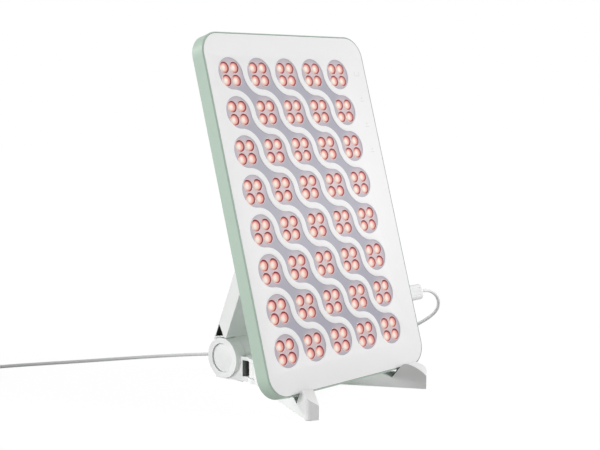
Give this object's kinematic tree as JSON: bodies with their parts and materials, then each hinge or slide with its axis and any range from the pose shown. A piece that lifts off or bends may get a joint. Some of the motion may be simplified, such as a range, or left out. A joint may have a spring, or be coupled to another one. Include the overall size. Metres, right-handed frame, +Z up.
{
  "type": "light therapy lamp",
  "caption": "Flat desktop light panel of lens domes that stands in two notched swing-out feet and leans on a hinged rear arm.",
  "frame": {"origin": "on the floor, under the middle of the lamp's outline", "axes": "+Z up, +Y to the rear where the hinge is, +X to the right seen from the lit side"},
  "size_m": [0.4111, 0.3727, 0.3126],
  "materials": {
    "mint_metal": "satin anodised",
    "seal_grey": "matt",
    "white_face": "satin white",
    "lilac_plate": "satin grey lilac",
    "lens_red": "clear lens over a red chip",
    "board_white": "plain",
    "board_green": "plain",
    "mint_plastic": "fine grain",
    "screw_steel": "zinc plated",
    "pin_steel": "ground",
    "inlet_grey": "plain",
    "plug_white": "satin",
    "cord_white": "satin",
    "tie_grey": "matt",
    "stand_white": "fine satin grain",
    "pad_grey": "matt",
    "washer_nylon": "plain"
  },
  "bodies": {
    "base": {"hub_lower": "stand_white", "hub_upper": "stand_white", "hub_screws": "screw_steel", "leg_pins": "pin_steel", "hinge_pin": "pin_steel", "hinge_cap_right": "stand_white", "hinge_cap_left": "stand_white", "hinge_washers": "washer_nylon", "hub_pads": "pad_grey", "leg_bumper": "pad_grey", "cord": "cord_white", "cord_coil": "cord_white", "coil_tie": "tie_grey", "cord_tail": "cord_white", "far_boot": "cord_white", "far_plug": "plug_white"},
    "arm": {"support_arm": "stand_white", "arm_cover": "stand_white", "arm_screws": "screw_steel", "head_pad": "pad_grey"},
    "leg_right": {"leg_right": "stand_white", "foot_pads_right": "pad_grey", "notch_liner_right": "pad_grey"},
    "leg_left": {"leg_left": "stand_white", "foot_pads_left": "pad_grey", "notch_liner_left": "pad_grey"},
    "panel": {"side_frame": "mint_metal", "face_seal": "seal_grey", "front_cover": "white_face", "lens_plate": "lilac_plate", "lens_domes": "lens_red", "lamp_board": "board_white", "touch_board": "board_green", "control_board": "board_green", "back_cover": "mint_plastic", "back_screws": "screw_steel", "power_inlet": "inlet_grey", "power_plug": "plug_white", "plug_boot": "cord_white"}
  },
  "joints": [
    {"name": "arm_tilt", "type": "hinge", "parent": "base", "child": "arm", "pos_m": [0, 0.072, 0.0194], "axis": [-1, 0, 0], "range_deg": [0, 20]},
    {"name": "panel_lean", "type": "hinge", "parent": "base", "child": "panel", "pos_m": [0, -0.05433, 0.01298], "axis": [-1, 0, 0], "range_deg": [0, 14.8]},
    {"name": "leg_right_swing", "type": "hinge", "parent": "base", "child": "leg_right", "pos_m": [0.0108, 0.0349, 0.0126], "axis": [0, 0, -1], "range_deg": [0, 26]},
    {"name": "leg_left_swing", "type": "hinge", "parent": "base", "child": "leg_left", "pos_m": [-0.0108, 0.0349, 0.0126], "axis": [0, 0, 1], "range_deg": [0, 26]}
  ],
  "couplings": [
    {"joint": "panel_lean", "follows": "arm_tilt", "ratio": 0.74}
  ]
}
